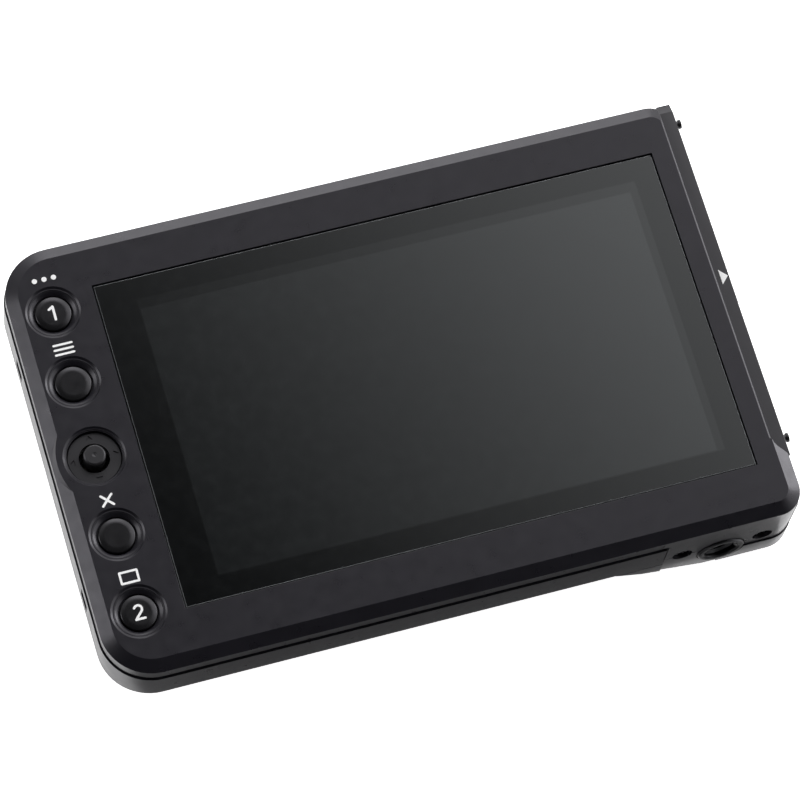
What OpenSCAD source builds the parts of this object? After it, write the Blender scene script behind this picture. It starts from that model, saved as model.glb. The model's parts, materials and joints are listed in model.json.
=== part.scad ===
// Small camera field monitor lying on its back.
// X runs to the screen's right, Y to the screen's top, Z out of the screen.
// The origin is under the middle of the part, on the surface it lies on.
// All sizes are in millimetres.

/* [Body] */
// Width of the key column, left wall to the glass opening
key_zone = 16.05; // [15.6:0.05:18]
// Width of the border right of the glass opening
side_border = 6.45; // [6.2:0.05:9]
// Width of the borders above and below the glass opening
edge_border = 9.875; // [9.6:0.025:12]
// Depth at the thick right-hand end, glass side to resting side
body_t = 19.4; // [19.4:0.1:24]
// Depth of the thin left-hand part
thin_t = 13.2; // [13.2:0.1:15]
// Wall thickness of both covers
wall = 2.0; // [1.8:0.1:2.2]
// Width of the sloping border round the front face
slope_w = 2.35; // [1.5:0.05:2.6]
// Drop of the sloping border
slope_h = 1.1; // [0.8:0.1:1.4]
// Corner radius of the two left corners
corner_l = 9.4; // [8:0.1:11]
// Corner radius of the two right corners
corner_r = 5.0; // [4:0.1:6]

/* [Seam] */
// Distance from the front face down to the seam
seam_drop = 3.6; // [3.2:0.1:4]
// Height of the open seam line
seam_gap = 0.8; // [0.3:0.1:1]
// How far the rear cover stands out past the front cover
seam_step = 0.25; // [0:0.05:0.4]
// Depth of the front cover's tongue, right of the stand thread
tongue_drop = 13.3; // [13:0.1:14]
// Depth of the front cover's tongue, left of the stand thread
tongue_rise = 10.4; // [10:0.1:11]
// Distance from the right wall to the tongue's left edge
tongue_in = 26.3; // [26:0.1:27]

/* [Screen] */
// Width of the picture area
active_w = 95.04; // [90:0.01:115]
// Height of the picture area
active_h = 53.5; // [50:0.1:65]
// Width of the glass left and right of the picture
border_x = 6.88; // [6.2:0.01:8]
// Height of the glass above and below the picture
border_y = 5.575; // [5.2:0.025:7]
// Gap round the cover glass
glass_gap = 0.35; // [0.2:0.05:0.5]
// Thickness of the cover glass
glass_t = 1.2; // [0.8:0.1:1.4]
// How far the glass lies below the front face
glass_sink = 0.25; // [0.1:0.05:0.4]

/* [Keys] */
// Distance from the left wall to the line of keys
key_inset = 7.85; // [7.6:0.05:8.2]
// Distance from the top wall to the first key's centre
key_1_in = 12.9; // [12.4:0.1:14]
// Distance from the top wall to the second key's centre
key_2_in = 27.1; // [26:0.1:27.8]
// Distance from the bottom wall to the third key's centre
key_3_in = 26.9; // [26:0.1:27.6]
// Distance from the bottom wall to the fourth key's centre
key_4_in = 11.8; // [11.6:0.1:13]
// Radius of the dished recess round a key
dish_r = 5.1; // [4.8:0.05:5.3]
// Radius of a key's cap
cap_r = 3.35; // [3.1:0.05:3.5]
// How far a key can be pressed
key_travel = 0.6; // [0.4:0.1:0.7]

/* [Joystick] */
// Height of the joystick's centre above the middle
joy_y = 0.2; // [-0.5:0.1:0.5]
// Radius of the recess round the joystick
joy_r = 5.75; // [5.6:0.05:5.9]
// Radius of the stick's cap
stick_r = 2.05; // [1.8:0.05:2.2]
// How far the stick's cap stands above the front face
stick_up = 0.75; // [0.5:0.05:1]
// How far the joystick can be pressed
joy_travel = 0.4; // [0.2:0.1:0.5]
// Radial play of the gimbal's pins in their holes
pin_play = 0.05; // [0.02:0.01:0.08]

/* [Side strip] */
// Distance from the bottom wall to the strip's lower end
strip_from = 10.9; // [9:0.1:13]
// Depth of the strip, front to back
strip_d = 9.0; // [8:0.1:9.5]
// How far the studs stand out of the strip
stud_out = 1.9; // [1.2:0.1:2.4]

/* [Stand thread] */
// Distance from the right wall to the stand thread
bush_inset = 15.05; // [14.8:0.05:16]
// Radius of the bush's flange
bush_r = 4.5; // [4.3:0.1:4.8]
// Distance from the thread to each screw pocket
pocket_pitch = 7.8; // [7.7:0.1:8]

/* [Hidden] */
$fn = 48;
tiny = 0.01;
win_w = active_w + 2 * border_x;
win_h = active_h + 2 * border_y;
body_w = key_zone + win_w + side_border;
body_h = win_h + 2 * edge_border;
hw = body_w / 2;
hh = body_h / 2;
zt = body_t - thin_t;
z_front = body_t;
front_t = 2.6;
z_plate = z_front - front_t;
z_seam = z_front - seam_drop;
z_tongue = z_front - tongue_drop;
z_tongue_l = z_front - tongue_rise;
tongue_x = hw - tongue_in;
leg_gap = 0.4;
floor_t = 1.8;
z_floor = zt + floor_t;
// The opening for the glass
win_cx = hw - side_border - win_w / 2;
win_cy = 0.3;
z_glass = z_front - glass_sink;
tape_t = 0.2;
z_ledge = z_glass - glass_t - tape_t;
ledge_in = 2.6;
// The picture area's middle
act_cx = win_cx + 0.64;
act_cy = win_cy - 0.72;
cell_w = active_w + 2 * (border_x - 4.28);
cell_h = active_h + 2 * (border_y - 2.775);
cell_t = 1.4;
z_cell = z_ledge - cell_t;
light_t = 2.4;
z_light = z_cell - light_t;
chassis_t = 1.0;
z_chassis = z_light - 0.05 - chassis_t;
board_t = 1.2;
z_board = z_chassis - 1.5 - board_t;
// Keys
key_x = -hw + key_inset;
key_1_y = hh - key_1_in;
key_2_y = hh - key_2_in;
key_3_y = -hh + key_3_in;
key_4_y = -hh + key_4_in;
key_ys = [key_1_y, key_2_y, key_3_y, key_4_y];
key_fit = 0.08;
kb_t = 1.2;
z_kb = z_front - 9.0 - kb_t;
z_kbt = z_kb + kb_t;
switch_h = 3.5;
boss_y = hh - 5.4;
// Joystick
z_pivot = z_front - 6.6;
joy_half = 4.7;
joy_fit = 0.06;
joy_can = 5.4;
joy_pin = 0.45;
ring_in = 2.55;
ring_out = 3.5;
// Strip, bush and hump
strip_x = hw + 0.35;
strip_in = hw - slope_w;
strip_low = -hh + strip_from;
edge_round = 0.5;
strip_top_z = z_front - 1.2;
strip_low_z = strip_top_z - strip_d;
stud_ys = [hh - 2.9, strip_low + 4.75];
stud_z = strip_top_z - strip_d / 2;
cav_right = strip_in - 1.9;
bush_x = hw - bush_inset;
bush_z = z_front - 12.4;
bush_face = hh + seam_step + 0.15;
thread_r = 3.175;
pocket_z = z_front - 10.1;
pocket_r = 1.95;
pocket_d = 1.35;
block_y1 = -hh + wall + 0.1;
block_y2 = block_y1 + 9.5;
hump_x = hw - 35.5;
slot_ys = [hh - 19.35, -hh + 18.95];
// Rear plate
bp_w = 72;
bp_h = 46;
bp_x = -11;
bp_y = 0;
bay_w = 58.5;
bay_h = 39.2;
bay_d = 3.6;
latch_w = 9;
latch_d = 5;
latch_up = 1.0;
latch_x = bp_x + bp_w / 2 - 6.4;
// Shift that centres the whole part on the origin
off_x = (hw + seam_step - (strip_x + stud_out)) / 2;
off_y = (bush_face - (hh + seam_step)) / 2;

// Everything is drawn about the housing's middle and moved once
module place() {
    translate([off_x, off_y, 0]) children();
}

// Plan of the housing, grown by g, with its own left and right corners
module plan(g) {
    rl = corner_l + g;
    rr = corner_r + g;
    w = hw + g;
    h = hh + g;
    translate([-w + rl, -h]) square([2 * w - rl - rr, 2 * h]);
    translate([-w, -h + rl]) square([rl + 1, 2 * h - 2 * rl]);
    translate([w - rr - 1, -h + rr]) square([rr + 1, 2 * h - 2 * rr]);
    for (s = [-1, 1]) {
        translate([-w + rl, s * (h - rl)]) circle(r = rl);
        translate([w - rr, s * (h - rr)]) circle(r = rr);
    }
}

// Solid with the plan's outline whose sides lean in by s over the height t
module lean_slab(g, s, t) {
    rl = corner_l + g;
    rr = corner_r + g;
    w = hw + g;
    h = hh + g;
    for (k = [-1, 1]) {
        translate([-w + rl, k * (h - rl), 0]) cylinder(r1 = rl, r2 = rl - s, h = t);
        translate([w - rr, k * (h - rr), 0]) cylinder(r1 = rr, r2 = rr - s, h = t);
    }
    translate([-w + rl, 0, 0]) rotate([90, 0, 90])
        linear_extrude(height = 2 * w - rl - rr)
        polygon([[-h, 0], [h, 0], [h - s, t], [-h + s, t]]);
    translate([0, h - rl, 0]) rotate([90, 0, 0])
        linear_extrude(height = 2 * h - 2 * rl)
        polygon([[-w, 0], [-w + rl + 1, 0], [-w + rl + 1, t], [-w + s, t]]);
    translate([0, h - rr, 0]) rotate([90, 0, 0])
        linear_extrude(height = 2 * h - 2 * rr)
        polygon([[w - rr - 1, 0], [w, 0], [w - s, t], [w - rr - 1, t]]);
}

// Front half of the outside form
module front_form() {
    translate([0, 0, z_front - slope_h]) lean_slab(0, slope_w, slope_h);
    translate([0, 0, zt]) linear_extrude(height = z_front - slope_h - zt) plan(0);
}

// Side profile of the thick right-hand end, grown inward by g
module hump_side(g) {
    top = g == 0 ? zt + 1 : z_floor + 0.1;
    polygon([[g == 0 ? hump_x : hump_x + 4.6 + g, top], [hump_x + 5.3 + g, zt - 1.6 + g],
        [hump_x + 18 + g * 0.8, zt - 5.1 + g], [hump_x + 23.5 + g * 0.4, g],
        [hw + 2, g], [hw + 2, top]]);
}

// Rear half of the outside form, with a bevelled edge where it meets the back
module rear_form() {
    g = seam_step;
    translate([0, 0, zt + 1.2]) linear_extrude(height = z_seam - seam_gap - zt - 1.2)
        plan(g);
    translate([0, 0, zt + 1.2]) mirror([0, 0, 1]) lean_slab(g, 1.2, 1.2);
    intersection() {
        union() {
            translate([0, 0, 1.4]) linear_extrude(height = zt) plan(g);
            translate([0, 0, 1.4]) mirror([0, 0, 1]) lean_slab(g, 1.4, 1.4);
        }
        translate([0, hh + 2, 0]) rotate([90, 0, 0])
            linear_extrude(height = body_h + 4) hump_side(0);
    }
}

// Room inside the two covers, up to height z1
module cavity(z1) {
    intersection() {
        translate([0, 0, z_floor]) linear_extrude(height = z1 - z_floor) plan(-wall);
        translate([-hw, -hh, 0]) cube([hw + cav_right, body_h, body_t]);
    }
    intersection() {
        translate([0, 0, floor_t]) linear_extrude(height = zt) plan(-wall);
        translate([-hw, -hh, 0]) cube([hw + cav_right, body_h, body_t]);
        translate([0, hh + 2, 0]) rotate([90, 0, 0])
            linear_extrude(height = body_h + 4) hump_side(floor_t);
    }
}

// Part of the lower right walls that belongs to the front cover, less gap g
module tongue_zone(g) {
    deep = wall + 2 - g;
    translate([tongue_x + g, -hh - 2, z_tongue_l + g])
        cube([bush_x - tongue_x, deep, z_seam - z_tongue_l + 1]);
    translate([bush_x + g, -hh - 2, z_tongue + g]) cube([30, deep, z_seam - z_tongue + 1]);
}

// Plan of the rebate for the side strip, shrunk by g
module strip_plan(g) {
    x = strip_in + g;
    y = strip_low + g;
    polygon([[x, hh + 2], [x, y + 3.6], [x + 0.25, y + 2.7], [x + 0.75, y + 1.9],
        [x + 1.6, y + 1.1], [x + 2.2, y + 0.5], [x + 2.5, y], [hw + 3, y],
        [hw + 3, hh + 2]]);
}

// Dished recess and stepped hole for one key
module key_hole() {
    translate([0, 0, z_front - 0.3]) cylinder(r1 = dish_r - 0.35, r2 = dish_r + 0.02, h = 0.31);
    translate([0, 0, z_front - 0.45]) cylinder(r = dish_r - 0.62, h = 0.3);
    translate([0, 0, z_front - 1.0]) cylinder(r1 = cap_r + 0.27, r2 = dish_r - 0.7, h = 0.6);
    translate([0, 0, z_front - 1.5]) cylinder(r = cap_r + 0.27, h = 0.6);
    translate([0, 0, z_plate - 1]) cylinder(r = cap_r + key_fit, h = front_t + 0.5);
}

module joy_hole() {
    translate([0, 0, z_front - 0.3]) cylinder(r1 = joy_r - 0.3, r2 = joy_r + 0.02, h = 0.31);
    translate([0, 0, z_front - 0.5]) cylinder(r = joy_r - 0.45, h = 0.3);
    translate([0, 0, z_front - 2.0]) cylinder(r = joy_r - 0.65, h = 1.6);
    translate([0, 0, z_plate - 1]) cylinder(r = 3.9, h = front_t);
}

// Screw posts under the front cover: four for the chassis, two for the key board
post_x1 = key_x + 7.15;
post_x2 = act_cx + cell_w / 2 + 2.49;
post_y = hh - 5.4;
module posts(r) {
    for (x = [post_x1, post_x2], s = [-1, 1]) translate([x, s * post_y, 0]) circle(r = r);
}
module kb_posts(r) {
    for (s = [-1, 1]) translate([key_x, s * boss_y, 0]) circle(r = r);
}

module front_cover() color([0.13, 0.13, 0.14]) place() {
    difference() {
        union() {
            difference() {
                intersection() {
                    front_form();
                    union() {
                        translate([-hw - 3, -hh - 3, z_seam]) cube([body_w + 6, body_h + 6, 30]);
                        tongue_zone(0);
                    }
                }
                cavity(z_plate);
                // Inner half of the wall end gives way to the rear cover's lip
                translate([0, 0, z_seam - 1]) linear_extrude(height = 2)
                    intersection() {
                        difference() {
                            plan(-1.0);
                            plan(-wall - 1);
                        }
                        translate([-hw, -hh]) square([body_w - tongue_in - 0.7, body_h]);
                    }
            }
            // Boss round the joystick that breaks through the slope
            translate([key_x + 4.45, joy_y - 0.1, z_front - 1.05])
                cylinder(r1 = 12.1, r2 = 11.4, h = 1.05);
            // Posts
            translate([0, 0, z_chassis + chassis_t + 0.02])
                linear_extrude(height = z_plate - z_chassis - chassis_t) posts(2.3);
            translate([0, 0, z_kbt]) linear_extrude(height = z_plate - z_kbt + 0.1)
                kb_posts(2.0);
            for (p = case_pts) translate([p[0], p[1], z_chassis + chassis_t + 0.02])
                cylinder(r = 2.1, h = z_plate - z_chassis - chassis_t);
        }
        // Pocket for the glass and the opening behind it
        translate([win_cx - win_w / 2, win_cy - win_h / 2, z_ledge])
            cube([win_w, win_h, 10]);
        translate([act_cx - cell_w / 2 - 0.4, act_cy - cell_h / 2 - 0.4, z_plate - 1])
            cube([cell_w + 0.8, cell_h + 0.8, 10]);
        for (y = key_ys) translate([key_x, y, 0]) key_hole();
        translate([key_x, joy_y, 0]) joy_hole();
        translate([0, 0, strip_low_z - 0.1]) linear_extrude(height = 20) strip_plan(0);
        // Holes for the screws
        translate([0, 0, z_chassis]) linear_extrude(height = 5) posts(0.9);
        translate([0, 0, z_kb]) linear_extrude(height = 6) kb_posts(0.75);
        for (p = case_pts) translate([p[0], p[1], z_chassis]) cylinder(r = 0.9, h = 4.2);
        bush_hole();
        // Rounded edge above the strip
        translate([0, hh + 1, 0]) rotate([90, 0, 0])
            linear_extrude(height = hh + 1 - strip_low - 3.6) polygon([
            for (a = [0 : 15 : 90]) [strip_in - edge_round * (1 - sin(a)),
                z_front - edge_round * (1 - cos(a))],
            [strip_in + 1, z_front - edge_round], [strip_in + 1, z_front + 1],
            [strip_in - edge_round, z_front + 1]]);
    }
}

// Holes in the bottom wall for the bush and the two screw pockets
module bush_hole() {
    translate([bush_x, -hh + wall + 1, bush_z]) rotate([90, 0, 0]) cylinder(r = 3.9, h = 8);
    translate([bush_x, -hh + 0.65, bush_z]) rotate([90, 0, 0])
        cylinder(r = bush_r + 0.2, h = 4);
    for (s = [-1, 1]) translate([bush_x + s * pocket_pitch, 0, pocket_z]) {
        translate([0, -hh + pocket_d, 0]) rotate([90, 0, 0]) cylinder(r = pocket_r, h = 4);
        translate([0, -hh + wall + 1, 0]) rotate([90, 0, 0]) cylinder(r = 1.1, h = 6);
    }
}

// Places of the case screws through the back
case_x = act_cx - cell_w / 2 - 4.87;
mid_x = act_cx + 1.56;
case_pts = [[case_x, hh - 13.2], [case_x, -hh + 13.2], [post_x2, hh - 18],
    [mid_x, hh - 5.2], [mid_x, -hh + 5.2]];

module rear_cover() color([0.12, 0.12, 0.13]) place() {
    difference() {
        union() {
            difference() {
                union() {
                    rear_form();
                    // Lip that reaches up inside the front cover's wall
                    translate([0, 0, z_seam - seam_gap - 0.5]) linear_extrude(height = seam_gap + 1.4)
                        intersection() {
                            plan(-1.1);
                            translate([-hw, -hh]) square([body_w - tongue_in - 1, body_h]);
                        }
                }
                cavity(z_plate);
                translate([cav_right - 0.01, -hh - 3, z_seam - seam_gap])
                    cube([20, body_h + 6, 5]);
            }
            // Inner part of the right wall closes the seam there
            translate([0, 0, z_seam - seam_gap - 0.5]) linear_extrude(height = seam_gap + 0.45)
                intersection() {
                    plan(-1.0);
                    translate([cav_right, -hh + wall + 0.2]) square([10, body_h]);
                }
            for (p = case_pts) translate([p[0], p[1], case_base(p)])
                cylinder(r = 2.5, h = case_top - case_base(p));
        }
        tongue_zone(-0.08);
        // Open leg of the seam, and the wall beside it level with the tongue
        translate([tongue_x - leg_gap, -hh - 2, z_tongue_l])
            cube([leg_gap + 0.1, 2.9, z_seam - z_tongue_l]);
        translate([tongue_x - leg_gap / 2, -hh - 2, -1])
            cube([bush_x - tongue_x, 2, z_tongue_l + 1.1]);
        translate([0, 0, strip_low_z - 0.1]) linear_extrude(height = 20) strip_plan(0);
        // Two latch slots for a hood in the left wall
        for (y = slot_ys) translate([-hw - 3, y - 1.85, z_front - 9.7])
            cube([wall + 4, 3.7, 2.8]);
        // Screw holes, with seats sunk in the back
        for (p = case_pts) translate([p[0], p[1], case_base(p) - 1]) {
            cylinder(r = 1.1, h = 20);
            cylinder(r = 2.15, h = 2.2);
        }
        // Openings for the sockets in the top wall
        translate([hdmi_x - 7.6, hh - 3, z_board - 1.95]) cube([15.2, 8, 5.1]);
        translate([power_x, hh - 3, power_z]) rotate([-90, 0, 0]) cylinder(r = 3.3, h = 8);
        translate([phone_x, hh - 3, phone_z]) rotate([-90, 0, 0]) cylinder(r = 2.5, h = 8);
        // Cooling slots in the back of the thin part
        for (i = [0 : 5]) translate([hump_x - 18.8 + i * 3.2, 26.5, zt - 1])
            cube([1.4, 9, floor_t + 2]);
        for (p = plate_pts) translate([p[0], p[1], zt - 1]) cylinder(r = 1.0, h = floor_t + 2);
        bush_hole();
        // Stud holes behind the strip
        for (y = stud_ys) translate([strip_in - 3, y, stud_z]) rotate([0, 90, 0])
            cylinder(r = 0.95, h = 8);
    }
}
function case_base(p) = p[0] > hw - 20 ? 0 : zt;
case_top = z_chassis - 0.05;

module side_strip() color([0.11, 0.11, 0.12]) place() {
    difference() {
        intersection() {
            union() {
                translate([0, 0, strip_low_z]) linear_extrude(height = strip_d - 0.75)
                    strip_plan(0.1);
                translate([0, hh - 1.8, 0]) rotate([90, 0, 0])
                    linear_extrude(height = body_h) polygon([[strip_in, strip_low_z],
                    [strip_x, strip_low_z], [strip_x, strip_top_z - 0.12],
                    [strip_x - 0.12, strip_top_z], [strip_in, strip_top_z]]);
                translate([strip_in, 0, 0]) rotate([90, 0, 90]) linear_extrude(height = 6)
                    polygon([[0, strip_low_z], [hh, strip_low_z], [hh, strip_top_z - 0.8],
                    [hh - 1.85, strip_top_z], [0, strip_top_z]]);
            }
            translate([0, 0, strip_low_z]) linear_extrude(height = strip_d) intersection() {
                strip_plan(0.1);
                translate([0, -hh]) square([strip_x, body_h]);
            }
        }
        for (y = stud_ys) translate([strip_in - 1, y, stud_z]) rotate([0, 90, 0])
            cylinder(r = 0.75, h = 8);
    }
}

module strip_studs() color([0.6, 0.6, 0.62]) place()
    for (y = stud_ys) translate([0, y, stud_z]) rotate([0, 90, 0]) {
        translate([0, 0, strip_in - 1.8]) cylinder(r = 0.7, h = strip_x + stud_out - strip_in + 1.7);
        translate([0, 0, strip_x + stud_out - 0.4]) cylinder(r = 0.9, h = 0.4);
    }

module index_mark() color([0.95, 0.95, 0.95]) place()
    translate([0, 0, strip_top_z]) linear_extrude(height = 0.05)
    polygon([[strip_in + 1.03, 4.13], [strip_in + 2.5, 5.62], [strip_in + 1.03, 7.15]]);

module cover_glass() color([0.05, 0.06, 0.07, 0.5]) place()
    translate([win_cx - win_w / 2 + glass_gap, win_cy - win_h / 2 + glass_gap, z_glass - glass_t])
    cube([win_w - 2 * glass_gap, win_h - 2 * glass_gap, glass_t]);

module glass_tape() color([0.03, 0.03, 0.03]) place() difference() {
    translate([win_cx - win_w / 2 + 0.5, win_cy - win_h / 2 + 0.5, z_ledge])
        cube([win_w - 1, win_h - 1, tape_t]);
    translate([act_cx - cell_w / 2 - 0.6, act_cy - cell_h / 2 - 0.6, z_ledge - 1])
        cube([cell_w + 1.2, cell_h + 1.2, 3]);
}

module bond_pad() color([0.8, 0.85, 0.9, 0.4]) place()
    translate([act_cx - cell_w / 2 + 0.8, act_cy - cell_h / 2 + 0.8, z_ledge])
    cube([cell_w - 1.6, cell_h - 1.6, tape_t]);

module lcd_cell() color([0.04, 0.05, 0.07]) place() {
    translate([act_cx - cell_w / 2, act_cy - cell_h / 2, z_ledge - 0.7])
        cube([cell_w, cell_h - 2.6, 0.7]);
    translate([act_cx - cell_w / 2, act_cy - cell_h / 2, z_cell])
        cube([cell_w, cell_h, 0.7]);
}

module backlight() color([0.75, 0.75, 0.77]) place() difference() {
    translate([act_cx - cell_w / 2 - 0.2, act_cy - cell_h / 2 - 0.2, z_light])
        cube([cell_w + 0.4, cell_h + 0.4, light_t]);
    translate([act_cx - 20, act_cy + cell_h / 2 - 1, z_light - 1]) cube([30, 5, light_t + 3]);
}

module lcd_flex() color([0.75, 0.45, 0.12]) place() translate([act_cx - 18, 0, 0])
    rotate([90, 0, 90]) linear_extrude(height = 26)
    polygon([[act_cy + cell_h / 2 - 2, z_cell + 0.7], [act_cy + cell_h / 2 + 0.17, z_cell + 0.7],
    [act_cy + cell_h / 2 + 0.17, z_board + board_t + 0.55],
    [act_cy + cell_h / 2 - 5, z_board + board_t + 0.15], [act_cy + cell_h / 2 - 5, z_board + board_t],
    [act_cy + cell_h / 2 + 0.32, z_board + board_t + 0.4],
    [act_cy + cell_h / 2 + 0.32, z_cell + 0.85], [act_cy + cell_h / 2 - 2, z_cell + 0.85]]);

module chassis() color([0.55, 0.56, 0.58]) place() difference() {
    union() {
        translate([post_x1 - 1.5, -post_y - 3, z_chassis])
            cube([post_x2 - post_x1 + 4.2, 2 * post_y + 6, chassis_t]);
        for (p = board_pts) translate([p[0], p[1], z_board + board_t])
            cylinder(r = 2.2, h = z_chassis - z_board - board_t + 0.1);
    }
    translate([0, 0, z_chassis - 1]) linear_extrude(height = 4) posts(1.1);
    for (p = board_pts) translate([p[0], p[1], z_board]) cylinder(r = 0.75, h = 4.5);
    for (p = case_pts) translate([p[0], p[1], z_chassis - 1]) cylinder(r = 1.05, h = 3);
    // Slot for the screen's cable and room for the sockets and the case posts
    translate([act_cx - 20, act_cy + cell_h / 2 - 1.2, z_chassis - 1]) cube([30, 4.6, 3]);
    for (i = [-2 : 2]) translate([act_cx + i * 19, 0, z_chassis - 1]) cylinder(r = 6, h = 3);
    translate([power_x - 5.5, hh - 14.5, z_chassis - 1]) cube([11, 20, 3]);
    translate([bush_x - 13, -hh, z_chassis - 1]) cube([40, 12.6, 3]);
}

module screw(r, hr, l, ht) {
    difference() {
        union() {
            cylinder(r = hr, h = ht);
            translate([0, 0, ht - tiny]) cylinder(r = r, h = l + tiny);
        }
        for (a = [0, 90]) rotate([0, 0, a]) translate([-hr * 0.62, -0.2, -1])
            cube([hr * 1.24, 0.4, 1 + ht * 0.55]);
    }
}

chassis_pts = [[post_x1, -post_y], [post_x1, post_y], [post_x2, post_y]];
module chassis_screws() color([0.3, 0.3, 0.32]) place()
    for (p = chassis_pts) translate([p[0], p[1], z_chassis - 0.9]) screw(0.85, 1.8, 3.4, 0.9);

board_x1 = post_x1 + 4;
board_x2 = hw - 28;
board_y1 = -hh + 12.2;
board_y2 = hh - wall - 3.9;
board_cx = (board_x1 + board_x2) / 2;
board_cy = (board_y1 + board_y2) / 2;
board_pts = [for (x = [board_x1 + 4, board_x2 - 4], y = [board_y1 + 4, board_y2 - 14.3]) [x, y]];
module main_board() color([0.05, 0.25, 0.12]) place() difference() {
    translate([board_x1, board_y1, z_board])
        cube([board_x2 - board_x1, board_y2 - board_y1, board_t]);
    for (p = board_pts) translate([p[0], p[1], z_board - 1]) cylinder(r = 1.1, h = 4);
    translate([hdmi_x - 7.4, hh - 17, z_board - 1]) cube([14.8, 20, 4]);
    translate([phone_x - 3.3, hh - 15, z_board - 1]) cube([6.6, 20, 4]);
    translate([mid_x - 3.3, hh - 9, z_board - 1]) cube([6.6, 10, 4]);
    translate([mid_x - 3.3, -hh, z_board - 1]) cube([6.6, 13, 4]);
}

module board_parts() color([0.06, 0.06, 0.07]) place() translate([board_cx, board_cy, 0]) {
    // Each part: left, bottom, width, height and thickness, below the board and above it
    for (b = [[-25.5, 1, 14, 14, 1.2], [-3.5, 3, 11, 11, 1.2], [14.5, -11, 9, 9, 1.0],
        [-19.5, -19, 8, 5, 1.1], [-5.5, -17, 5, 5, 1.5], [28.5, 5, 6, 9, 1.4],
        [22, -23, 12, 4, 1.6], [-29.5, -25, 4, 8, 1.4]])
        translate([b[0], b[1], z_board - b[4]]) cube([b[2], b[3], b[4]]);
    for (b = [[-9.5, -7, 20, 8, 0.9], [-27.5, 7, 8, 8, 0.9]])
        translate([b[0], b[1], z_board + board_t]) cube([b[2], b[3], b[4]]);
}

module board_screws() color([0.7, 0.7, 0.72]) place()
    for (p = board_pts) translate([p[0], p[1], z_board - 0.8]) screw(0.7, 1.7, 3.2, 0.8);

hdmi_x = board_x1 + 24.65;
power_x = hw - 14.5;
power_z = z_chassis - 5.4;
phone_x = board_x1 + 8;
phone_z = z_board + 0.2;
// The sockets' mouths end just inside the top wall's face
sock_y = hh + seam_step - 0.6;

module hdmi_socket() color([0.7, 0.7, 0.72]) place() translate([hdmi_x, sock_y, z_board - 1.6])
    difference() {
        translate([-7.2, -12.5, 0]) cube([14.4, 12.5, 4.3]);
        difference() {
            translate([-6.8, -9, 0.4]) cube([13.6, 10, 3.5]);
            translate([-5.5, -9.1, 1.6]) cube([11, 7.4, 1.1]);
            for (s = [-1, 1]) translate([s * 6.9, -10, 0.2]) rotate([0, s * 35, 0])
                translate([-1.2, 0, -1.2]) cube([2.4, 12, 1.6]);
        }
    }

module power_socket() color([0.04, 0.04, 0.05]) place() translate([power_x, sock_y, power_z])
    rotate([90, 0, 0]) {
        difference() {
            union() {
                cylinder(r = 3.15, h = 4);
                translate([-4.5, -3.2, 2.6]) cube([9, 6.4, 10]);
            }
            translate([0, 0, -1]) cylinder(r = 2.75, h = 10);
        }
        translate([0, 0, 0.8]) cylinder(r = 1.0, h = 9);
    }

module phone_socket() color([0.05, 0.05, 0.06]) place() translate([phone_x, sock_y, phone_z])
    rotate([90, 0, 0]) difference() {
        union() {
            cylinder(r = 2.4, h = 3.6);
            translate([-3.1, -2.2, 2.2]) cube([6.2, 4.4, 12]);
        }
        translate([0, 0, -1]) cylinder(r = 1.8, h = 14.5);
    }

module key_board() color([0.05, 0.22, 0.12]) place() difference() {
    translate([0, 0, z_kb]) linear_extrude(height = kb_t) intersection() {
        translate([key_x - 5.0, -boss_y - 2.6]) square([10.6, 2 * boss_y + 5.2]);
        plan(-wall - 0.25);
    }
    translate([0, 0, z_kb - 1]) linear_extrude(height = 4) kb_posts(0.9);
}

module key_board_screws() color([0.7, 0.7, 0.72]) place()
    for (s = [-1, 1]) translate([key_x, s * boss_y, z_kb - 0.7]) screw(0.7, 1.6, 3.4, 0.7);

// Four switches with a square body and a round mouth for the key's stem
module key_switches() color([0.08, 0.08, 0.09]) place()
    for (y = key_ys) translate([key_x, y, z_kbt]) difference() {
        union() {
            translate([-3, -3, 0]) cube([6, 6, switch_h]);
            for (a = [-1, 1], b = [-1, 1])
                translate([a * 3.4, b * 2.2, 0]) cube([1.2, 0.7, 0.3], center = false);
        }
        translate([0, 0, 0.8]) cylinder(r = 1.1 + key_fit, h = 5);
        for (a = [-1, 1], b = [-1, 1]) translate([a * 2.3, b * 2.3, switch_h - 0.2])
            cylinder(r = 0.35, h = 1);
    }

// One key: domed cap, retaining flange and stem
module key_cap() {
    z_cap = z_front - 0.95;
    dome_r = 16;
    intersection() {
        translate([0, 0, z_plate - 0.6]) cylinder(r = cap_r, h = 5);
        translate([0, 0, z_cap + 0.55 - dome_r]) sphere(r = dome_r, $fn = 96);
        translate([0, 0, z_plate - 0.6]) cylinder(r1 = cap_r + 2.4, r2 = cap_r - 0.3, h = z_cap - z_plate + 1.0);
    }
    translate([0, 0, z_plate - 1.1]) cylinder(r = cap_r + 0.8, h = 1.05);
    translate([0, 0, z_kbt + switch_h - 0.7])
        cylinder(r = 1.1, h = z_plate - z_kbt - switch_h);
}
module key_a() color([0.16, 0.16, 0.17]) place() translate([key_x, key_1_y, 0]) key_cap();
module key_b() color([0.16, 0.16, 0.17]) place() translate([key_x, key_2_y, 0]) key_cap();
module key_c() color([0.16, 0.16, 0.17]) place() translate([key_x, key_3_y, 0]) key_cap();
module key_d() color([0.16, 0.16, 0.17]) place() translate([key_x, key_4_y, 0]) key_cap();

module key_flex() color([0.75, 0.45, 0.12]) place() difference() {
    translate([key_x + 3, -8, z_kb - 0.15]) cube([board_x1 + 5 - key_x - 3, 7, 0.15]);
    translate([key_x + 2, -7.2, z_kb - 1]) cube([1.6, 1, 2]);
}

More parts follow.
